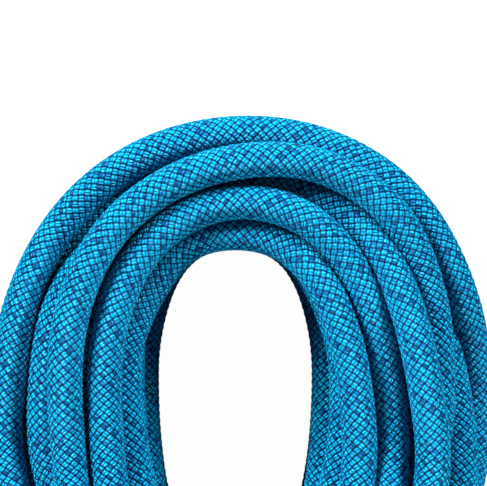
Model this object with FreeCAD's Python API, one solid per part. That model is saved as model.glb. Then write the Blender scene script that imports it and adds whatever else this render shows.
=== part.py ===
import FreeCAD, Part
import math
import os

# Dynamic climbing rope, wound into a hank that lies flat.
# Millimetres. +Z up, +Y towards the upper arch of the hank, Z = 0 is the ground.
# The origin is under the middle of the hank, on the ground.
#
# The rope is one kernmantle cord: a braided sheath over parallel core strands and a thin
# marker tape.  Its turns are stood for by the hank's outer shape.  The stretches that
# are not wound are plain tubes.  The last stretch at each end shows the construction.

V = FreeCAD.Vector
UP = V(0, 0, 1)

# ---- driving dimensions -------------------------------------------------------------
rope_d = 9.8
rope_r = rope_d / 2
sheath_wall = 1.0
sheath_inner_r = rope_r - sheath_wall

tape_thickness = 0.12
tape_width = 2.0
outer_strands = 9
inner_strands = 3
strand_r = 0.9
strand_gap = 0.01              # clearance between strands, and twice that to the tape

sleeve_wall = 0.35
sleeve_length = 32.0
sleeve_overhang = 1.0          # how far the sleeve is rolled back from the very tip
tip_length = 2.4               # melted and solidified end of the rope
tip_dome = 0.9
end_length = 44.0              # stretch at each end whose construction is modelled

hank_length = 500.0
arch_outer_r = 72.0            # upper arch, outside
arch_centre_y = hank_length / 2 - arch_outer_r
arch_open_half = 20.8          # half width of the upper opening
arch_open_rise = 32.4          # its height above the arch centre
arch_open_shift = -2.2         # the opening sits a little to one side

waist_half = 48.0
waist_top_y = 98.0
waist_low_y = 22.0

foot_outer_half = 74.0         # lower arch, outside
foot_outer_rise = 70.0
foot_centre_y = -hank_length / 2 + foot_outer_rise
foot_open_half = 27.0
foot_open_rise = 24.0
apex_round = 7.0               # half width of the rounded end of each opening
upper_apex_gap = 6.0           # from the waist up to the upper opening's end
lower_apex_gap = 12.0          # from the waist down to the lower opening's end
upper_reach = -46.0            # how straight an opening's sides run towards its end
lower_reach = 95.0
roundness = 0.62               # of the two arches: length of a handle over its half axis
ease = 0.45                    # share of a side's length that each of its handles takes

lift = rope_d                  # the wraps pass under the waist and raise it by one rope
ramp = 42.0                    # length over which the strands come down to the ground
hank_height = 60.0
top_round = 15.0
base_round = 4.0

# Points of the two stretches that are not wound, from the winding to the rope's end.
tail_a_points = [
    V(33, 22, 65.3), V(42, -6, 65.3), V(48, -42, 65.3), V(49, -80, 65.3), V(44, -116, 65.3),
]
tail_b_points = [
    V(14, -213, 5.3), V(-4, -208.5, 5.3), V(-16.5, -195.5, 5.3), V(-21, -177, 5.3), V(-19, -150, 5.3),
    V(-12, -122, 5.3), V(-4, -96, 5.3),
]
arc_share = 0.45               # share of the shorter run that an arc takes up


# ---- shared helpers -----------------------------------------------------------------
def export(name, shape):
    """Write one sub-part, and say how big it is."""
    box = shape.BoundBox
    print(
        f"{name}: solids {len(shape.Solids)} valid {shape.isValid()} volume {shape.Volume:.1f}"
        f" x {box.XMin:.1f}..{box.XMax:.1f} y {box.YMin:.1f}..{box.YMax:.1f} z {box.ZMin:.1f}..{box.ZMax:.1f}"
    )
    shape.exportStep(f"parts/{name}.step")


def bezier(*points):
    """A cubic Bezier edge through two ends, with two handles."""
    curve = Part.BezierCurve()
    curve.setPoles(list(points))
    return curve.toShape()


def ellipse_half(cx, cy, half, rise):
    """Half an ellipse over (cx, cy), from its right side to its left.  A negative rise hangs down."""
    mid = V(cx, cy + rise, 0)
    right = V(cx + half, cy, 0)
    left = V(cx - half, cy, 0)
    handle_x = half * roundness
    handle_y = rise * roundness
    return [
        bezier(right, right + V(0, handle_y, 0), mid + V(handle_x, 0, 0), mid),
        bezier(mid, mid - V(handle_x, 0, 0), left + V(0, handle_y, 0), left),
    ]


def side(x0, y0, x1, y1):
    """A side of the outline that leaves and arrives along Y."""
    reach = (y1 - y0) * ease
    return bezier(V(x0, y0, 0), V(x0, y0 + reach, 0), V(x1, y1 - reach, 0), V(x1, y1, 0))


def slab(edges, low, high):
    """A closed outline as a slab between two heights."""
    wire = Part.Wire(Part.__sortEdges__(edges))
    face = Part.Face(wire)
    face.translate(V(0, 0, low))
    return face.extrude(V(0, 0, high - low))


def rounded(solid, low, high, low_r, high_r):
    """Round the edges that lie in the top plane, and then those in the bottom plane."""
    for level, radius in ((high, high_r), (low, low_r)):
        edges = [
            e for e in solid.Edges
            if abs(e.BoundBox.ZMin - level) < 1e-4 and abs(e.BoundBox.ZMax - level) < 1e-4
        ]
        solid = solid.makeFillet(radius, edges)
    return solid


def tube_path(points):
    """Straight runs joined by tangent arcs.  Returns the wire and prints the radii."""
    edges = []
    radii = []
    here = points[0]
    for before, corner, after in zip(points, points[1:], points[2:]):
        d_in = corner - before
        d_out = after - corner
        shorter = min(d_in.Length, d_out.Length)
        turn = d_in.getAngle(d_out)
        cut = arc_share * shorter
        radius = cut / math.tan(turn / 2)
        radii.append(radius)
        d_in.normalize()
        d_out.normalize()
        start = corner - d_in * cut
        stop = corner + d_out * cut
        inward = (d_out - d_in).normalize()
        centre = corner + inward * (radius / math.cos(turn / 2))
        middle = centre + (corner - centre).normalize() * radius
        edges.append(Part.LineSegment(here, start).toShape())
        edges.append(Part.Arc(start, middle, stop).toShape())
        here = stop
    edges.append(Part.LineSegment(here, points[-1]).toShape())
    print("  radii", [round(r, 1) for r in radii])
    return Part.Wire(edges)


def tube(points, radius):
    """A plain round cord along the path, with its volume compared with section times length."""
    path = tube_path(points)
    start = (points[1] - points[0]).normalize()
    ring = Part.Wire([Part.makeCircle(radius, points[0], start)])
    solid = path.makePipeShell([ring], True, True)
    expected = math.pi * radius ** 2 * path.Length
    print(f"  length {path.Length:.1f}, volume {solid.Volume:.1f}, section x length {expected:.1f}")
    return solid


# ---- the hank and its wraps ---------------------------------------------------------
def opening(cx, cy, half, rise, apex, reach):
    """A drop-shaped opening: half an ellipse at the arch, and sides that close to a round apex."""
    edges = ellipse_half(cx, cy, half, rise)
    for s in (-1, 1):
        wide = V(cx + s * half, cy, 0)
        edges.append(bezier(wide, wide + V(0, reach, 0), apex + V(s * apex_round, 0, 0), apex))
    return edges


def hank_outline():
    """The hank seen from above: a round upper arch, the waist, and a wider lower arch."""
    edges = [
        Part.Arc(
            V(arch_outer_r, arch_centre_y, 0), V(0, hank_length / 2, 0), V(-arch_outer_r, arch_centre_y, 0)
        ).toShape()
    ]
    for s in (-1, 1):
        edges.append(side(s * arch_outer_r, arch_centre_y, s * waist_half, waist_top_y))
        waist = Part.LineSegment(V(s * waist_half, waist_top_y, 0), V(s * waist_half, waist_low_y, 0))
        edges.append(waist.toShape())
        edges.append(side(s * waist_half, waist_low_y, s * foot_outer_half, foot_centre_y))
    return edges + ellipse_half(0, foot_centre_y, foot_outer_half, -foot_outer_rise)


def rope_hank():
    """One closed solid of the outer shape of all the turns, open inside both arches."""
    solid = slab(hank_outline(), 0, hank_height)
    upper = opening(
        arch_open_shift, arch_centre_y, arch_open_half, arch_open_rise,
        V(0, waist_top_y + upper_apex_gap, 0), upper_reach
    )
    lower = opening(
        0, foot_centre_y, foot_open_half, -foot_open_rise, V(0, waist_low_y - lower_apex_gap, 0), lower_reach
    )
    for edges in (upper, lower):
        solid = solid.cut(slab(edges, -1, hank_height + 1))
    solid = rounded(solid, 0, hank_height, base_round, top_round)
    return solid.cut(space_under_waist())


def space_under_waist():
    """The space that the wraps take under the waist, with the strands coming down on both sides."""
    reach = 2 * waist_half
    points = [
        V(-reach, waist_low_y - ramp, -1), V(-reach, waist_low_y, lift),
        V(-reach, waist_top_y, lift), V(-reach, waist_top_y + ramp, -1),
    ]
    return Part.Face(Part.makePolygon(points + points[:1])).extrude(V(2 * reach, 0, 0))


def waist_wraps(hank):
    """The wraps that bind the waist: a ring one rope thick that fits the hank all round."""
    half = waist_half + rope_d
    span = waist_top_y - waist_low_y
    block = Part.makeBox(2 * half, span, hank_height + rope_d, V(-half, waist_low_y, 0))
    top = hank_height + rope_d - 1
    along_top = [e for e in block.Edges if e.BoundBox.YLength > rope_d and e.BoundBox.ZMin > top]
    block = block.makeFillet(top_round + rope_d, along_top)
    along_low = [e for e in block.Edges if e.BoundBox.YLength > rope_d and e.BoundBox.ZMax < 1]
    block = block.makeFillet(rope_d, along_low)
    return block.cut(hank)


# ---- the two ends -------------------------------------------------------------------
def placed(shape, origin, direction):
    """Turn a shape that was made along +Z from zero so that it runs from origin along direction."""
    shape.Placement = FreeCAD.Placement(origin, FreeCAD.Rotation(UP, direction))
    return shape


def sheath_end():
    """The braided sheath's last stretch, as a plain hollow cylinder."""
    length = end_length - tip_length
    return Part.makeCylinder(rope_r, length).cut(Part.makeCylinder(sheath_inner_r, length))


def marker_tape():
    """A thin tape that lies against the inside of the sheath."""
    length = end_length - tip_length
    band = Part.makeCylinder(sheath_inner_r, length)
    band = band.cut(Part.makeCylinder(sheath_inner_r - tape_thickness, length))
    window = Part.makeBox(rope_d, tape_width, length, V(0, -tape_width / 2, 0))
    return band.common(window)


def core_strand(ring_r, angle):
    """One core strand, parallel to the rope."""
    foot = V(ring_r * math.cos(angle), ring_r * math.sin(angle), 0)
    return Part.makeCylinder(strand_r, end_length - tip_length, foot)


def core_strands():
    """Three strands in the middle and nine around them, clear of the tape."""
    outer_ring = sheath_inner_r - tape_thickness - strand_r - 2 * strand_gap
    inner_ring = strand_r / math.cos(math.radians(30)) + strand_gap
    strands = [core_strand(inner_ring, 2 * math.pi * (k + 0.5) / inner_strands) for k in range(inner_strands)]
    strands += [core_strand(outer_ring, 2 * math.pi * k / outer_strands) for k in range(outer_strands)]
    return strands


def fused_tip():
    """The melted end of sheath and core, a low dome that closes the rope."""
    flat = tip_length - tip_dome
    ball_r = (rope_r ** 2 + tip_dome ** 2) / (2 * tip_dome)
    ball = Part.makeSphere(ball_r, V(0, 0, end_length - ball_r))
    ball = ball.common(Part.makeCylinder(rope_r, tip_length, V(0, 0, end_length - tip_dome)))
    return Part.makeCylinder(rope_r, flat, V(0, 0, end_length - tip_length)).fuse(ball).removeSplitter()


def end_sleeve():
    """A shrunk sleeve over the rope's end, with its outer edges eased."""
    start = end_length - sleeve_overhang - sleeve_length
    outer = Part.makeCylinder(rope_r + sleeve_wall, sleeve_length, V(0, 0, start))
    rims = [e for e in outer.Edges if e.BoundBox.ZLength < 1e-6]
    outer = outer.makeFillet(sleeve_wall * 0.5, rims)
    return outer.cut(Part.makeCylinder(rope_r, sleeve_length, V(0, 0, start)))


def write_end(letter, tail_points):
    """All the pieces of one rope end, in line with the tail that they finish."""
    foot = tail_points[-1]
    way = (foot - tail_points[-2]).normalize()
    pieces = {
        "sheath": sheath_end(),
        "marker_tape": marker_tape(),
        "fused_tip": fused_tip(),
        "sleeve": end_sleeve(),
    }
    for number, strand in enumerate(core_strands(), 1):
        pieces[f"core_strand_{number:02d}"] = strand
    for name, shape in pieces.items():
        export(f"end_{letter}_{name}", placed(shape, foot, way))


os.makedirs("parts", exist_ok=True)
hank = rope_hank()
export("rope_hank", hank)
export("waist_wraps", waist_wraps(hank))
export("tail_a", tube(tail_a_points, rope_r))
export("tail_b", tube(tail_b_points, rope_r))
write_end("a", tail_a_points)
write_end("b", tail_b_points)
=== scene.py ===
import math

import bpy
import numpy as np
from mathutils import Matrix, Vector
from mathutils.kdtree import KDTree


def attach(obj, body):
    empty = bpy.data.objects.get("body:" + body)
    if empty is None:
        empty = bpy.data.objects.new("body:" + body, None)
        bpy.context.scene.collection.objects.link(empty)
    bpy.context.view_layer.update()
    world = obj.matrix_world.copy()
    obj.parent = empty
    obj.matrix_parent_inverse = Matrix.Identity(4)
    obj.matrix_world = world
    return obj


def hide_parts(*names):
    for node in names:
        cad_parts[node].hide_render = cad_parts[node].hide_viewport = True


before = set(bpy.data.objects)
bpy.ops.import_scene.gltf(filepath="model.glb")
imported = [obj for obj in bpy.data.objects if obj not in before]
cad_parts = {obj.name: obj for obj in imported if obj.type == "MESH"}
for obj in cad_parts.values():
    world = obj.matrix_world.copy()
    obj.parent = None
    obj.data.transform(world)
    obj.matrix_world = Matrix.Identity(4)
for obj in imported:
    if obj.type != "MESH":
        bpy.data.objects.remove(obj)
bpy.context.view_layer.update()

# A dynamic climbing rope in a hank.  The CAD's frame: +Z up from the ground, +Y towards
# the upper arch.  The route is worked out in millimetres and scaled to metres by MM.

MM = 0.001
ROPE_D = 9.8
ROPE_R = ROPE_D / 2

# ---- view ---------------------------------------------------------------------------
VIEW_WIDTH = 131.0        # what the frame spans at the height of the top strands
VIEW_LEVEL = 56.0         # that height
VIEW_DISTANCE = 400.0     # from the camera down to it
EYE = np.array([0.0, 211.8])
EYE_HEIGHT = VIEW_LEVEL + VIEW_DISTANCE
SENSOR = 36.0             # width of the sensor


def make_camera():
    """A camera that looks straight down on the upper arch."""
    data = bpy.data.cameras.new("camera")
    data.sensor_fit = "HORIZONTAL"
    data.sensor_width = SENSOR
    data.lens = SENSOR * VIEW_DISTANCE / VIEW_WIDTH
    data.clip_start = 0.01
    data.clip_end = 20
    camera = bpy.data.objects.new("camera", data)
    camera.location = (EYE[0] * MM, EYE[1] * MM, EYE_HEIGHT * MM)
    bpy.context.collection.objects.link(camera)
    bpy.context.scene.camera = camera


# ---- the route: stations --------------------------------------------------------------
# The turns cross a ring of stations: up the right leg, round the upper arch, down the left
# leg and round the lower arch, which is the foot.  At each station a turn has a place u across
# the bundle, measured outwards from the inner edge, and a height z.
ARCH = np.array([-2.2, 178.0])       # centre of the upper opening
ARCH_HALF, ARCH_RISE = 20.8, 32.7    # its half width, and its height above the centre
ARCH_POWER = 2.95                    # how square its outline is, 2 for an ellipse
FOOT = np.array([0.0, -178.0])       # centre of the lower opening
FOOT_HALF, FOOT_RISE = 27.0, 26.0
STEP = 22.5                          # degrees between the stations of an arch
WAIST_TOP, WAIST_LOW = 98.0, 22.0
WAIST_HALF, WAIST_DEEP = 48.0, 54.0  # half width and height of the bundle under the wraps
WAIST_POWER = 4                      # how square its section is
# Inner and outer edge of each leg, by place along the hank.
LEG_Y = [-135, -90, -45, -8, 22, 60, 98, 125, 150]
LEG_IN = [26.0, 22.0, 12.5, 4.0, 0.0, 0.0, 0.0, 16.0, 20.0]
LEG_OUT = [73.0, 68.5, 60.0, 52.5, 48.0, 48.0, 49.5, 61.0, 69.0]
# Outer edge of each arch from its opening's centre, a step apart.
ARCH_OUT = [69.6, 69.4, 71.3, 70.7, 69.1, 68.2, 67.0, 65.6, 66.0]
FOOT_OUT = [74.0, 74.0, 73.5, 72.5, 72.0, 72.5, 73.5, 74.0, 74.0]
FOOT_STEPS_UP = 5                    # lower arch stations from its middle to the right leg
FOOT_STEPS_DOWN = 4                  # and from the left leg to its middle
ARCH_LEG_STATIONS = 2                # leg stations at the top that follow the upper opening
# How far the wraps lift the lowest strands off the ground, in diameters, by place along the hank.
LIFT_Y = [-60, -8, WAIST_LOW, WAIST_TOP, 125, 170]
LIFT = [0, 0.55, 1, 1, 0.55, 0]


def ray(centre, degrees, half, rise, power, outer):
    """A station of an arch: its origin on the opening's edge, its way outwards and its width."""
    angle = math.radians(degrees)
    way = np.array([math.cos(angle), math.sin(angle)])
    edge = (abs(way[0] / half) ** power + abs(way[1] / rise) ** power) ** (-1 / power)
    return centre + way * edge, way, outer - edge


def leg_station(side, k):
    """A station of a leg, side 1 on the right and -1 on the left."""
    shift = ARCH[0] if k >= len(LEG_Y) - ARCH_LEG_STATIONS else 0.0
    origin = np.array([side * LEG_IN[k] + shift, float(LEG_Y[k])])
    return origin, np.array([float(side), 0.0]), LEG_OUT[k] - LEG_IN[k]


def foot_station(k):
    """A station of the lower arch, counted from the left leg."""
    return ray(FOOT, 180 + k * STEP, FOOT_HALF, FOOT_RISE, 2, FOOT_OUT[k])


def arch_station(k):
    """A station of the upper arch, counted from the right leg."""
    return ray(ARCH, k * STEP, ARCH_HALF, ARCH_RISE, ARCH_POWER, ARCH_OUT[k])


class Stations:
    """All stations in the order that the rope passes them, from the middle of the lower arch."""

    def __init__(self):
        legs = range(len(LEG_Y))
        parts = [
            ("foot", [foot_station(FOOT_STEPS_DOWN + k) for k in range(FOOT_STEPS_UP)]),
            ("right", [leg_station(1, k) for k in legs]),
            ("arch", [arch_station(k) for k in range(len(ARCH_OUT))]),
            ("left", [leg_station(-1, k) for k in reversed(legs)]),
            ("foot", [foot_station(k) for k in range(FOOT_STEPS_DOWN)]),
        ]
        self.kind = [kind for kind, made in parts for _ in made]
        rows = [row for _, made in parts for row in made]
        self.origin = np.array([row[0] for row in rows])
        self.way = np.array([row[1] for row in rows])
        self.width = np.array([row[2] for row in rows])
        self.count = len(rows)
        self.right = [i for i, kind in enumerate(self.kind) if kind == "right"]
        self.left = [i for i, kind in enumerate(self.kind) if kind == "left"][::-1]
        self.arch = [i for i, kind in enumerate(self.kind) if kind == "arch"]
        self.led = [self.right[-1]] + self.arch + [self.left[-1]]
        self.outlined = self.led + [self.right[-2], self.left[-2]]
        self.waist = [
            i for i in self.right + self.left if WAIST_LOW <= self.origin[i][1] <= WAIST_TOP
        ]
        lift = np.interp(self.origin[:, 1], LIFT_Y, LIFT)
        self.lift = np.where(np.isin(self.kind, ["right", "left"]), lift, 0) * ROPE_D


# ---- the route: turns ------------------------------------------------------------------
# The hidden turns lie in layers, the lowest first, and end with those that stand back from
# the opening's edge.  Each upper turn has its distance from the centre of the upper opening,
# and its depth under the top in rope diameters, at the stations from the right leg round the
# arch to the left leg.  At these stations it is led, and elsewhere it is free.
LAYERS = [5, 5, 4, 4]     # turns in each
LAYER_RISE = 0.88         # of a diameter
SET_BACK_LAYERS = 2       # the highest ones
INSET = 8.0               # and how far they stand back
SCATTER = 0.6             # how unevenly the hidden turns start
START_IN = 0.9            # how far inside the edges they start, in radii
TAIL_B_JOINS = 2          # the station where the first turn starts
TOP_Z = 51.0              # height of the top strands' middles
HEAP = 1.6                # how far the sides of the heap lie below its middle, in diameters
SQUEEZED = 0.975          # the wraps press the strands together
MEETING_Y = (-20, 126)    # between these the strands of the two legs can touch
UPPER_TURNS = [
    ([24, 25.6, 27.8, 34.0, 36.8, 36.6, 36.3, 34.1, 28.8, 25.8, 24],
     [3.4, 3.4, 3.1, 2.6, 2.1, 1.8, 2.1, 2.6, 3.1, 3.4, 3.4]),
    ([31.2, 31.8, 31.5, 33, 36, 38, 36, 34, 33, 33, 31],
     [1.0, 1.0, 1.1, 1.3, 1.6, 1.9, 2.0, 2.0, 2.0, 2.0, 2.0]),
    ([55, 55, 55, 57, 58, 59, 58, 56, 55, 55, 56.5],
     [2.6, 2.5, 2.4, 2.0, 2.0, 1.9, 1.8, 1.9, 2.0, 2.0, 1.9]),
    ([65.5, 62.0, 61, 59, 58, 58, 58, 56, 54, 52, 52],
     [1.55, 1.6, 1.9, 2.0, 2.0, 2.0, 2.0, 2.0, 2.0, 2.0, 2.0]),
    ([68.5, 68.5, 67.4, 68.3, 66.4, 65.3, 64, 63.0, 61.2, 60.6, 64],
     [2.3, 2.1, 1.3, 1.05, 0.7, 0.5, 0.45, 0.6, 0.8, 1.0, 1.3]),
    ([55.3, 51.4, 50.9, 52.5, 52.2, 54, 53, 53, 52.6, 52.6, 53],
     [0.0, 0.0, 0.3, 0.7, 0.6, 0.8, 1.0, 1.0, 0.8, 0.7, 0.6]),
    ([35.1, 32, 31.2, 35.6, 36.3, 37.5, 35.5, 30.5, 32.6, 31.9, 29],
     [0.1, 0.1, 0.1, 0.1, 0.2, 0.1, 0.5, 1.5, 1.25, 1.05, 0.7]),
    ([45.0, 41.8, 41.2, 44.0, 45.0, 44.6, 43.4, 39.9, 37.2, 36.4, 35.2],
     [0.85, 0.8, 0.5, 0.45, 0.1, 0.05, 0.0, -0.1, 0.0, 0.1, 0.2]),
    ([53.5, 55.8, 58.8, 61.9, 60.6, 55.8, 51.8, 50.8, 48.2, 47.8, 44.6],
     [1.0, 0.85, 0.75, 0.6, 0.2, 0, 0, 0.15, 0.2, 0.15, 0.1]),
]
TURNS = sum(LAYERS) + len(UPPER_TURNS)
SETTLING_STEPS = 400
EARLY = 0.75              # share of the steps that count as early
EARLY_ROUNDS, LATE_ROUNDS = 3, 8     # of pushing apart, in each step
STIFF, EXTRA_STIFF = 0.05, 0.25      # bending stiffness, and what the first step adds
GOAL_PULL_U, GOAL_PULL_Z = 0.35, 0.25
SINK = 0.3                # how far a free strand sinks in the first step
PUSH = 0.6                # share of an overlap that one push takes up
LED_GIVE = 0.35           # how far a led strand gives way, against 1 for a free one
WAIST_NEAREST, FREE_NEAREST = 0.5, 0.6     # how near an inner edge middles may lie, in radii
SEED = 3
TINY = 1e-9               # keeps two strands on one spot from dividing by nothing


class Bundle:
    """The turns settle: each is pulled down or to its place, and pushed off its neighbours."""

    def __init__(self, at):
        self.at = at
        shape = (TURNS, at.count)
        self.u = np.zeros(shape)
        self.z = np.zeros(shape)
        self.goal_u = np.full(shape, np.nan)
        self.goal_z = np.full(shape, np.nan)
        turn = 0
        for layer, count in enumerate(LAYERS):
            for lane in range(count)[::1 if layer % 2 == 0 else -1]:
                room = at.width - 2 * START_IN * ROPE_R
                self.u[turn] = START_IN * ROPE_R + lane / (count - 1) * room
                self.z[turn] = ROPE_R + layer * LAYER_RISE * ROPE_D
                turn += 1
        for radii, depths in UPPER_TURNS:
            self.lay_upper_turn(turn, radii, depths)
            turn += 1
        self.led = ~np.isnan(self.goal_u)
        order = np.arange(TURNS)
        self.set_back = (order >= sum(LAYERS[:-SET_BACK_LAYERS])) & (order < sum(LAYERS))
        scatter = np.random.default_rng(SEED).normal(0, SCATTER, shape)
        self.u += np.where(self.led, 0, scatter)
        self.present = np.ones(shape, bool)
        self.present[0, :TAIL_B_JOINS] = False
        self.present[-1, at.left[-1] + 1:] = False     # the last one leaves for the wraps
        self.d = np.full(at.count, ROPE_D)
        self.d[at.waist] *= SQUEEZED

    def lay_upper_turn(self, turn, radii, depths):
        """Its goals where it is led.  On the legs it keeps its lane, and changes over at the foot."""
        at = self.at
        for i, radius, depth in zip(at.led, radii, depths):
            from_centre = at.origin[i] - ARCH
            edge = np.linalg.norm(from_centre) if at.kind[i] == "arch" else abs(from_centre[0])
            self.goal_u[turn, i] = radius - edge
            self.goal_z[turn, i] = TOP_Z - depth * ROPE_D
        first, last = at.led[0], at.led[-1]
        right, left = self.goal_u[turn, [first, last]] / at.width[[first, last]]
        order = np.arange(at.count)
        since_left = (order + FOOT_STEPS_DOWN) % at.count
        change = since_left / (FOOT_STEPS_UP + FOOT_STEPS_DOWN)
        foot = left * (1 - change) + right * change
        leg = np.where(order <= first, right, left)
        lane = np.where(np.array(at.kind) == "foot", foot, leg)
        self.u[turn] = np.where(np.isnan(self.goal_u[turn]), lane * at.width, self.goal_u[turn])
        heap = TOP_Z - HEAP * ROPE_D * abs(lane - 0.5)
        self.z[turn] = np.where(np.isnan(self.goal_z[turn]), heap, self.goal_z[turn])

    def stiffen(self, share):
        """Bending stiffness: each point moves towards the middle of the two beside it."""
        path = np.stack([self.u, self.z], -1).reshape(-1, 2)
        padded = np.vstack([path[:1], path, path[-1:]])
        path = path + share * ((padded[:-2] + padded[2:]) / 2 - path)
        path = path.reshape(TURNS, self.at.count, 2)
        self.u, self.z = path[..., 0].copy(), path[..., 1].copy()

    def part(self):
        """Push overlapping strands apart.  A strand that is led moves less than a free one."""
        du = self.u[:, None, :] - self.u[None, :, :]
        dz = self.z[:, None, :] - self.z[None, :, :]
        apart = np.sqrt(du * du + dz * dz) + TINY
        both = self.present[:, None, :] & self.present[None, :, :]
        push = np.where(both, np.clip(self.d - apart, 0, None), 0)
        give = np.where(self.led, LED_GIVE, 1.0)
        push *= PUSH * give[:, None, :] / (give[:, None, :] + give[None, :, :]) / apart
        self.u += (push * du).sum(1)
        self.z += (push * dz).sum(1)

    def part_legs(self):
        """The same for the strands of the two legs where they meet."""
        at = self.at
        for r, l in zip(at.right, at.left):
            if not MEETING_Y[0] < at.origin[r][1] < MEETING_Y[1]:
                continue
            x_right = at.origin[r][0] + self.u[:, r]
            x_left = at.origin[l][0] - self.u[:, l]
            dx = x_right[:, None] - x_left[None, :]
            dz = self.z[:, r][:, None] - self.z[:, l][None, :]
            apart = np.sqrt(dx * dx + dz * dz) + TINY
            both = self.present[:, r][:, None] & self.present[:, l][None, :]
            push = np.where(both, np.clip(self.d[r] - apart, 0, None), 0) * (PUSH / 2) / apart
            self.u[:, r] += (push * dx).sum(1)
            self.z[:, r] += (push * dz).sum(1)
            self.u[:, l] += (push * dx).sum(0)
            self.z[:, l] -= (push * dz).sum(0)

    def keep_in(self):
        """The ground, the outline as the eye sees it, and the wraps round the waist."""
        at = self.at
        self.z = np.maximum(self.z, ROPE_R + at.lift)
        for i in range(at.count):
            u, z = self.u[:, i], self.z[:, i]
            if i in at.outlined:
                scale = VIEW_DISTANCE / (EYE_HEIGHT - z)
                shown = EYE + (at.origin[i] - EYE) * scale[:, None] - at.origin[i]
                along = shown @ at.way[i]
                low = (ROPE_R * scale - along) / scale
                high = (at.width[i] - ROPE_R * scale - along) / scale
                self.u[:, i] = np.clip(u, low + np.where(self.set_back, INSET, 0), high)
            elif i in at.waist:
                half, deep = WAIST_HALF - ROPE_R, WAIST_DEEP / 2 - ROPE_R
                middle = ROPE_D + WAIST_DEEP / 2
                u = np.maximum(u, WAIST_NEAREST * ROPE_R)
                out = (u / half) ** WAIST_POWER + (abs(z - middle) / deep) ** WAIST_POWER
                pull = np.maximum(out, 1) ** (-1 / WAIST_POWER)
                self.u[:, i] = u * pull
                self.z[:, i] = middle + (z - middle) * pull
            else:
                self.u[:, i] = np.clip(u, FREE_NEAREST * ROPE_R, at.width[i] - ROPE_R)

    def settle(self):
        """Stiff and quick at first, and towards the end mostly pushed apart."""
        for step in range(SETTLING_STEPS):
            going = 1 - step / SETTLING_STEPS
            self.stiffen(STIFF + EXTRA_STIFF * going)
            goal_u, goal_z = np.nan_to_num(self.goal_u), np.nan_to_num(self.goal_z)
            self.u += np.where(self.led, GOAL_PULL_U * (goal_u - self.u), 0)
            self.z += np.where(self.led, GOAL_PULL_Z * (goal_z - self.z), -SINK * going)
            for _ in range(EARLY_ROUNDS if going > 1 - EARLY else LATE_ROUNDS):
                self.part()
                self.part_legs()
                self.keep_in()

    def points(self):
        """The turns as one row of points, in order along the rope."""
        at = self.at
        flat = at.origin[None] + at.way[None] * self.u[..., None]
        rows = np.concatenate([flat, self.z[..., None]], -1)
        return rows[self.present]

    def waist_strands(self, y):
        """Where the strands cross the waist at y: pairs of x and z."""
        at = self.at
        found = []
        for legs in (at.right, at.left):
            legs = [i for i in legs if i in at.waist]
            ys = at.origin[legs, 1]
            x = at.origin[legs, 0] + at.way[legs, 0] * self.u[:, legs]
            for turn in range(TURNS):
                if self.present[turn, legs].all():
                    found.append((np.interp(y, ys, x[turn]), np.interp(y, ys, self.z[turn, legs])))
        return np.array(found)


# ---- the route: wraps and tails --------------------------------------------------------
# The stretches that are not wound.  The tails run from the winding to the rope's ends, and the
# last turn climbs onto the waist.
TAIL_A = [(33, 22, 65.3), (42, -6, 65.3), (48, -42, 65.3), (49, -80, 65.3), (44, -116, 65.3)]
TAIL_B = [(11, -208, 5.1), (-4, -208.5, 5.3), (-16.5, -195.5, 5.3), (-21, -177, 5.3),
          (-19, -150, 5.3), (-12, -122, 5.3), (-4, -96, 5.3)]
END_LENGTH = 44.0         # each tail's straight end
TIP_LENGTH = 0.6          # the melted tip stands past the braid
ONTO_WAIST = [(-44, 130, 60), (-44, 112, 64.5), (-39, 99, 69), (-25, 92.6, 69.5)]
WRAPS = 7
WRAP_POINTS = 16          # in one wrap
WRAP_PITCH = 1.02 * ROPE_D
WRAP_FIRST_Y = 92.5


def wraps(bundle):
    """The turns round the waist.  Each follows the hull of the strands that it binds."""
    made = []
    for k in range(WRAPS * WRAP_POINTS + 1):
        angle = math.pi / 2 - 2 * math.pi * k / WRAP_POINTS
        y = WRAP_FIRST_Y - WRAP_PITCH * k / WRAP_POINTS
        way = np.array([math.cos(angle), math.sin(angle)])
        strands = bundle.waist_strands(y)
        far = strands[np.argmax(strands @ way)]
        x, z = far + way * ROPE_D
        made.append((x, y, max(z, ROPE_R)))
    return made


def with_end(points):
    """The tail with the straight stretch at its end."""
    before, last = np.array(points[-2:], float)
    way = (last - before) / np.linalg.norm(last - before)
    return points + [last + way * END_LENGTH / 2, last + way * (END_LENGTH - TIP_LENGTH)]


def rope_route():
    """All points of the route, from end b to end a."""
    bundle = Bundle(Stations())
    bundle.settle()
    rows = with_end(TAIL_B)[::-1] + list(bundle.points()) + ONTO_WAIST
    rows += wraps(bundle) + with_end(TAIL_A)
    return np.array([tuple(row) for row in rows], float) * MM


# ---- rope mesh ---------------------------------------------------------------------------
COLUMNS = 24                 # crossings of the braid round the rope
CELL = 2.36 * MM             # length of one crossing along the rope
RELIEF = 0.13 * MM           # how far a crossing stands out, and a gap goes in
TWIST = 0.35                 # radians that the sheath wanders round the core
TWIST_PERIODS = (0.61, 0.23)
CURVE_POINTS = 24            # read back from each stretch of the route's curve
ROUTE_STEP = 8 * MM          # between the points that are pushed apart
SAME_STRAND = 6              # route steps within which points belong to one strand
NEAR = 1.4                   # diameters within which strands can come to touch
SQUASHED = 0.93              # how near strands lie, in diameters
UNTANGLING_STEPS = 60
PAIRING_STEPS = 10           # untangling steps between two searches for pairs
SMOOTHINGS = 3               # of the moves, after each step
UPPER_ARCH_Y = 155 * MM      # above it they move only up and down
EASING_Y = 0.2 * UPPER_ARCH_Y
HEAVY_ABOVE = 38 * MM        # the top strands keep their places, and those below give way
HEAVY_GIVE = 0.3             # against 1 for those below
TINY_GAP = 1e-7              # the same as TINY, in metres


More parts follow.
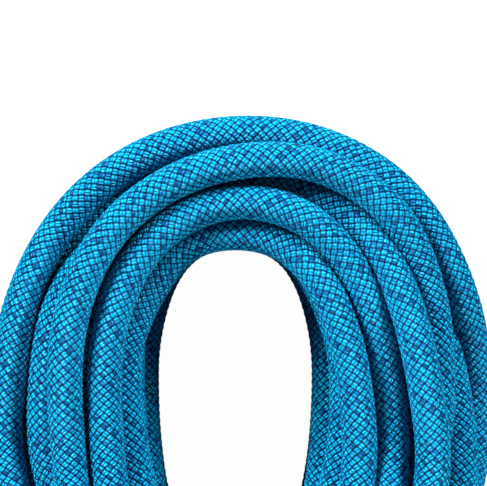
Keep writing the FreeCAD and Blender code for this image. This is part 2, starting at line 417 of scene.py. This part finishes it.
def read_curve(points):
    """The route as a smooth curve, read back as closely spaced points."""
    data = bpy.data.curves.new("route", "CURVE")
    data.dimensions = "3D"
    data.resolution_u = CURVE_POINTS
    spline = data.splines.new("NURBS")
    spline.points.add(len(points) - 1)
    for p, co in zip(spline.points, points):
        p.co = (*co, 1)
    spline.order_u = 3
    spline.use_endpoint_u = True
    holder = bpy.data.objects.new("route", data)
    mesh = bpy.data.meshes.new_from_object(holder)
    line = np.empty(len(mesh.vertices) * 3)
    mesh.vertices.foreach_get("co", line)
    bpy.data.objects.remove(holder)
    bpy.data.curves.remove(data)
    bpy.data.meshes.remove(mesh)
    return line.reshape(-1, 3)


def evenly(line, step):
    """The same line with its points a step apart, and how far along it each of them is."""
    ahead = np.concatenate([[0], np.cumsum(np.linalg.norm(np.diff(line, axis=0), axis=1))])
    count = int(ahead[-1] / step)
    where = np.linspace(0, ahead[-1], count + 1)
    return np.stack([np.interp(where, ahead, line[:, k]) for k in range(3)], 1), where


def close_pairs(line):
    """Pairs of points that lie near each other on different strands."""
    tree = KDTree(len(line))
    for i, p in enumerate(line):
        tree.insert(p, i)
    tree.balance()
    pairs = [
        (i, j) for i, p in enumerate(line) for _, j, _ in tree.find_range(p, NEAR * ROPE_D * MM)
        if j > i + SAME_STRAND
    ]
    return np.array(pairs).T


def untangle(line):
    """Push apart strands that run through one another between the stations."""
    start, moved = line, np.zeros_like(line)
    free = np.clip((UPPER_ARCH_Y - line[:, 1:2]) / EASING_Y, 0, 1)
    for step in range(UNTANGLING_STEPS):
        line = start + moved
        if step % PAIRING_STEPS == 0:
            i, j = close_pairs(line)
        way = np.gradient(line, axis=0)
        way /= np.linalg.norm(way, axis=1)[:, None]
        along = way[i] + way[j] * np.sign((way[i] * way[j]).sum(1))[:, None]
        along /= np.linalg.norm(along, axis=1)[:, None]
        gap = line[i] - line[j]
        gap -= (gap * along).sum(1)[:, None] * along
        apart = np.linalg.norm(gap, axis=1) + TINY_GAP
        push = gap * (PUSH * np.clip(SQUASHED * ROPE_D * MM - apart, 0, None) / apart)[:, None]
        give = np.where(line[:, 2] > HEAVY_ABOVE, HEAVY_GIVE, 1.0)
        share = (give[i] / (give[i] + give[j]))[:, None]
        np.add.at(moved, i, push * share)
        np.add.at(moved, j, push * (share - 1))
        for _ in range(SMOOTHINGS):
            moved[1:-1] = (moved[:-2] + 2 * moved[1:-1] + moved[2:]) / 4
        moved[:, :2] *= free
        moved[:, 2] = np.maximum(moved[:, 2], ROPE_R * MM - start[:, 2])
    return start + moved


def frames(line):
    """Two normals at each point, carried along without twist."""
    tangent = np.gradient(line, axis=0)
    tangent /= np.linalg.norm(tangent, axis=1)[:, None]
    normal = np.empty_like(line)
    n = np.cross(tangent[0], (0.0, 0.0, 1.0))
    for i, t in enumerate(tangent):
        n = n - t * (n @ t)
        n /= math.sqrt(n @ n)
        normal[i] = n
    return normal, np.cross(tangent, normal)


def rope_mesh(line, where):
    """Rings of points, where every other one stands out, so that each crossing is a low bump."""
    rings = len(line)
    normal, across = frames(line)
    columns = np.arange(COLUMNS)
    angle = 2 * math.pi * columns[None] / COLUMNS
    angle = angle + TWIST * sum(np.sin(2 * math.pi * where / p) for p in TWIST_PERIODS)[:, None]
    high = (np.arange(rings)[:, None] + columns[None]) % 2 == 0
    radius = ROPE_R * MM - RELIEF + np.where(high, RELIEF, -RELIEF)
    spoke = np.cos(angle)[..., None] * normal[:, None] + np.sin(angle)[..., None] * across[:, None]
    co = line[:, None] + spoke * radius[..., None]
    ring = np.arange(rings - 1)[:, None] * COLUMNS
    beside = (columns + 1) % COLUMNS
    quads = np.stack(
        [ring + columns, ring + beside, ring + COLUMNS + beside, ring + COLUMNS + columns], -1
    ).reshape(-1, 4)
    mesh = bpy.data.meshes.new("rope")
    mesh.vertices.add(rings * COLUMNS)
    mesh.vertices.foreach_set("co", co.ravel())
    mesh.loops.add(quads.size)
    mesh.loops.foreach_set("vertex_index", quads.ravel().astype(np.int32))
    mesh.polygons.add(len(quads))
    mesh.polygons.foreach_set("loop_start", np.arange(0, quads.size, 4, dtype=np.int32))
    mesh.polygons.foreach_set("use_smooth", np.ones(len(quads), bool))
    u = np.stack([columns, columns + 1, columns + 1, columns], -1)[None].repeat(rings - 1, 0)
    v = np.arange(rings - 1)[:, None, None] + np.array([0, 0, 1, 1])[None, None]
    v = np.broadcast_to(v, u.shape) / 2
    layer = mesh.uv_layers.new(name="Braid")
    layer.data.foreach_set("uv", np.stack([u, v], -1).astype(np.float32).ravel())
    mesh.update()
    mesh.validate()
    return mesh


def make_rope():
    """The whole rope as one piece, and its middle line."""
    route, _ = evenly(read_curve(rope_route()), ROUTE_STEP)
    line, where = evenly(read_curve(untangle(route)), CELL / 2)
    rope = bpy.data.objects.new("rope", rope_mesh(line, where))
    bpy.context.collection.objects.link(rope)
    rope.data.materials.append(braid_material())
    return rope, line


# ---- materials ---------------------------------------------------------------------------
class Nodes:
    """A short way to write a node tree."""

    def __init__(self, name):
        self.material = bpy.data.materials.new(name)
        self.material.use_nodes = True
        self.tree = self.material.node_tree
        self.shader = self.tree.nodes["Principled BSDF"]

    def put(self, socket, value):
        if isinstance(value, bpy.types.NodeSocket):
            self.tree.links.new(value, socket)
        else:
            socket.default_value = value

    def add(self, kind, *values, out=0, **settings):
        node = self.tree.nodes.new(kind)
        for key, value in settings.items():
            setattr(node, key, value)
        for k, value in enumerate(values):
            if value is not None:
                self.put(node.inputs[k], value)
        return node.outputs[out]

    def math(self, operation, *values):
        return self.add("ShaderNodeMath", *values, operation=operation)

    def split(self, vector):
        """Its x and y."""
        node = self.tree.nodes.new("ShaderNodeSeparateXYZ")
        self.put(node.inputs[0], vector)
        return node.outputs[0], node.outputs[1]

    def join(self, *values):
        return self.add("ShaderNodeCombineXYZ", *values)

    def noise(self, vector, scale, detail):
        node = self.add("ShaderNodeTexNoise", vector).node
        node.inputs["Scale"].default_value = scale
        node.inputs["Detail"].default_value = detail
        return node.outputs[0]

    def bump(self, height, distance):
        node = self.tree.nodes.new("ShaderNodeBump")
        node.inputs["Distance"].default_value = distance
        self.put(node.inputs["Height"], height)
        self.put(self.shader.inputs["Normal"], node.outputs[0])

    def mix(self, factor, a, b):
        node = self.tree.nodes.new("ShaderNodeMix")
        node.data_type = "RGBA"
        self.put(node.inputs[0], factor)
        self.put(node.inputs[6], a)
        self.put(node.inputs[7], b)
        return node.outputs[2]

    def ramp(self, value, stops, interpolation="LINEAR"):
        node = self.tree.nodes.new("ShaderNodeValToRGB")
        node.color_ramp.interpolation = interpolation
        elements = node.color_ramp.elements
        while len(elements) < len(stops):
            elements.new(1)
        for element, (position, colour) in zip(elements, stops):
            element.position = position
            element.color = (*colour, 1)
        self.put(node.inputs[0], value)
        return node.outputs[0]


# Each carrier of the braid draws one of these tones, by where its number falls from 0 to 1.
YARN_TONES = [
    (0.0, (0.0, 0.45, 0.75)),
    (0.40, (0.0, 0.37, 0.68)),
    (0.64, (0.0, 0.51, 0.80)),
    (0.84, (0.0, 0.17, 0.45)),
    (0.94, (0.0, 0.08, 0.26)),
]
# Painted shade in the gaps and corners between crossings, where the yarns would shade each other.
GAP_PAINTED_SHADE = (0.0, 0.003, 0.015)
# Painted shade on the flanks of each pair: the yarn's tone is multiplied by this tint.
FLANK_PAINTED_SHADE = (0.3, 0.30, 0.52)   # light that has passed through more dyed yarn
CARRIERS = 12                    # pairs of yarns each way round the rope
# How far a pair falls away towards its sides, its ends and its corners, and how soon; the low parts
# are also painted darker as shade.
SIDE_FALL, SIDE_POWER = 0.60, 4
END_FALL, END_POWER = 0.76, 3
CORNER_FALL, CORNER_POWER = 0.7, 3
SPLIT_DEPTH, SPLIT_WIDTH = 0.5, 1 / 2.6     # the groove between the two yarns of a pair
FILAMENTS = (30, 3)              # streaks across and along a crossing
CROSSING_OFFSETS = (7.3, 3.1)    # where each crossing's streaks lie in the noise
GRAIN_LOW, GRAIN_SPAN = 0.72, 0.56
STREAK_RELIEF = 0.08
BUMP_HEIGHT = 0.001
GAP_ROUGHNESS, GLOSS = 0.95, 0.74


def braid_height(n, across, along):
    """Height of the yarns: a pair swells over its crossing, with a groove between its two."""
    edge_across = n.math("MULTIPLY", n.math("ABSOLUTE", across), 2)
    edge_along = n.math("MULTIPLY", n.math("ABSOLUTE", along), 2)
    sides = n.math("MULTIPLY", n.math("POWER", edge_across, SIDE_POWER), SIDE_FALL)
    ends = n.math("MULTIPLY", n.math("POWER", edge_along, END_POWER), END_FALL)
    corner = n.math("POWER", n.math("MULTIPLY", edge_across, edge_along), CORNER_POWER)
    swell = n.math("MULTIPLY", n.math("SUBTRACT", 1, sides), n.math("SUBTRACT", 1, ends))
    swell = n.math("SUBTRACT", swell, n.math("MULTIPLY", corner, CORNER_FALL))
    from_groove = n.math("MINIMUM", n.math("MULTIPLY", edge_across, 1 / SPLIT_WIDTH), 1)
    groove = n.math("POWER", n.math("SUBTRACT", 1, from_groove), 2)
    return n.math("SUBTRACT", n.math("MAXIMUM", swell, 0), n.math("MULTIPLY", groove, SPLIT_DEPTH))


def braid_material():
    """Pairs of yarns that cross over and under each other, with flecks of deeper blue.

    The map counts crossings round the rope in x, and pairs of crossings along it in y.
    """
    n = Nodes("sheath_braid")
    x, y = n.split(n.add("ShaderNodeUVMap", uv_map="Braid"))
    half_x = n.math("MULTIPLY", x, 0.5)
    p = n.math("ADD", y, half_x)
    q = n.math("SUBTRACT", y, half_x)
    i = n.math("ROUND", p)
    j = n.math("ROUND", q)
    fp = n.math("SUBTRACT", p, i)
    fq = n.math("SUBTRACT", q, j)
    odd = n.math("FLOORED_MODULO", n.math("SUBTRACT", i, j), 2)
    even = n.math("SUBTRACT", 1, odd)

    def choose(a, b):
        return n.math("ADD", n.math("MULTIPLY", a, even), n.math("MULTIPLY", b, odd))

    across = choose(fp, fq)
    along = choose(fq, fp)
    height = braid_height(n, across, along)
    # Colour: one tone for each yarn.
    strand = n.math("FLOORED_MODULO", choose(i, j), CARRIERS)
    side = n.math("GREATER_THAN", across, 0)
    yarn = n.math("ADD", n.math("MULTIPLY", strand, 2), side)
    pick = n.add("ShaderNodeTexWhiteNoise", n.join(yarn, odd), noise_dimensions="2D")
    tone = n.ramp(pick, YARN_TONES, "CONSTANT")
    # Filaments: streaks along the yarn, different in each crossing.
    places = [n.math("MULTIPLY", count, by) for count, by in zip((i, j), CROSSING_OFFSETS)]
    crossing = n.math("ADD", *places)
    fine = [n.math("MULTIPLY", way, by) for way, by in zip((across, along), FILAMENTS)]
    streak = n.noise(n.join(*fine, crossing), 1.0, 1.0)
    grain = n.math("ADD", GRAIN_LOW, n.math("MULTIPLY", streak, GRAIN_SPAN))
    # Painted shade: the gaps near black and the flanks a deeper blue, by how low the yarn lies; the
    # crown keeps the yarn's full tone.
    shade = n.math("MULTIPLY", n.math("MAXIMUM", height, 0), grain)
    # deep is the yarn's tone, darkened as the flanks' painted shade; the flanks blend to it from the
    # gaps' painted shade.
    deep = n.add("ShaderNodeVectorMath", tone, FLANK_PAINTED_SHADE, operation="MULTIPLY")
    flank_shade = n.mix(n.math("MULTIPLY", shade, 2), (*GAP_PAINTED_SHADE, 1), deep)
    crown = n.math("MAXIMUM", n.math("SUBTRACT", n.math("MULTIPLY", shade, 2), 1), 0)
    n.put(n.shader.inputs["Base Color"], n.mix(crown, flank_shade, tone))
    n.bump(n.math("ADD", height, n.math("MULTIPLY", streak, STREAK_RELIEF)), BUMP_HEIGHT)
    rough = n.math("SUBTRACT", GAP_ROUGHNESS, n.math("MULTIPLY", shade, GLOSS))
    n.put(n.shader.inputs["Roughness"], rough)
    n.shader.inputs["Specular IOR Level"].default_value = 0.45
    n.shader.inputs["Specular Tint"].default_value = (0.2, 0.8, 0.9, 1)
    n.shader.inputs["Sheen Weight"].default_value = 0.05
    n.shader.inputs["Sheen Roughness"].default_value = 0.3
    n.shader.inputs["Sheen Tint"].default_value = (0.1, 0.9, 1.0, 1)
    return n.material


GRAIN_DARK = 0.75                # of the colour, in the dark of the grain
GRAIN_GLOSS = 0.12               # range of the roughness
GRAIN_HEIGHT = 0.00004
OBJECT_PLACE = 3                 # output of the coordinates node


def plain_material(name, colour, roughness, scale):
    """A tinted surface with a fine uneven grain in colour, gloss and relief."""
    n = Nodes(name)
    grain = n.noise(n.add("ShaderNodeTexCoord", out=OBJECT_PLACE), scale, 4)
    dark = tuple(GRAIN_DARK * c for c in colour)
    n.put(n.shader.inputs["Base Color"], n.mix(grain, (*dark, 1), (*colour, 1)))
    rough = n.math("ADD", roughness - GRAIN_GLOSS / 2, n.math("MULTIPLY", grain, GRAIN_GLOSS))
    n.put(n.shader.inputs["Roughness"], rough)
    n.bump(grain, GRAIN_HEIGHT)
    return n.material


def dress_cad_nodes():
    """Give each node of the rope's ends its own finish."""
    finishes = {
        "core_strand": plain_material("core_yarn", (0.86, 0.86, 0.82), 0.7, 3000),
        "marker_tape": plain_material("marker_film", (0.85, 0.55, 0.08), 0.45, 1500),
        "fused_tip": plain_material("melted_yarn", (0.010, 0.10, 0.17), 0.35, 900),
        "sleeve": plain_material("shrunk_film", (0.030, 0.034, 0.040), 0.48, 700),
        "sheath": plain_material("sheath_end", (0.03, 0.45, 0.65), 0.6, 1200),
    }
    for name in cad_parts:
        for part, material in finishes.items():
            if name.startswith("end_") and part in name:
                for slot in bpy.data.objects[name].material_slots:
                    slot.material = material


# ---- stage -----------------------------------------------------------------------------
FLOOR_HALF = 3.0
WALL_HEIGHT = 3.0
# Each light's name, place, size and power.
LIGHTS = [
    ("left", (-0.80, 0.84, 0.56), 0.35, 33),
    ("right", (0.74, 0.88, 0.48), 0.35, 22),
    ("near", (0.0, -0.9, 0.33), 0.2, 13),
    ("front", (0.0, 0.2, 1.6), 0.8, 1.2),
]
LIGHT_TARGET = (0, 0.12, 0.03)
AMBIENT = 0.02


def pale_material(name):
    """Nearly white, and bright enough of itself that no shadow greys it."""
    n = Nodes(name)
    n.shader.inputs["Base Color"].default_value = (0.3, 0.3, 0.3, 1)
    n.shader.inputs["Roughness"].default_value = 0.9
    n.shader.inputs["Emission Color"].default_value = (1, 1, 1, 1)
    n.shader.inputs["Emission Strength"].default_value = 0.97
    return n.material


def make_floor():
    """The floor, and a wall round it for the low views."""
    s = FLOOR_HALF
    low = [(-s, -s, 0), (s, -s, 0), (s, s, 0), (-s, s, 0)]
    high = [(x, y, WALL_HEIGHT) for x, y, _ in low]
    sides = [(k, (k + 1) % 4, 4 + (k + 1) % 4, 4 + k) for k in range(4)]
    for name, points, faces in (("floor", low, [(0, 1, 2, 3)]), ("wall", low + high, sides)):
        mesh = bpy.data.meshes.new(name)
        mesh.from_pydata(points, [], faces)
        mesh.materials.append(pale_material("pale_" + name))
        side = bpy.data.objects.new(name, mesh)
        bpy.context.collection.objects.link(side)
        side.visible_diffuse = False
        side.visible_glossy = False


def make_light(name, place, size, power):
    data = bpy.data.lights.new(name, "AREA")
    data.shape = "DISK"
    data.size = size
    data.energy = power
    light = bpy.data.objects.new(name, data)
    light.location = place
    way = Vector(LIGHT_TARGET) - Vector(place)
    light.rotation_euler = way.to_track_quat("-Z", "Y").to_euler()
    bpy.context.collection.objects.link(light)


def light_scene():
    for row in LIGHTS:
        make_light(*row)
    world = bpy.data.worlds.new("world")
    world.use_nodes = True
    background = world.node_tree.nodes["Background"]
    background.inputs["Color"].default_value = (1, 1, 1, 1)
    background.inputs["Strength"].default_value = AMBIENT
    bpy.context.scene.world = world
    bpy.context.scene.view_settings.view_transform = "Standard"


make_camera()
rope, line = make_rope()
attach(rope, "root")
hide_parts("rope_hank", "waist_wraps", "tail_a", "tail_b", "end_a_sheath", "end_b_sheath")
dress_cad_nodes()
make_floor()
light_scene()
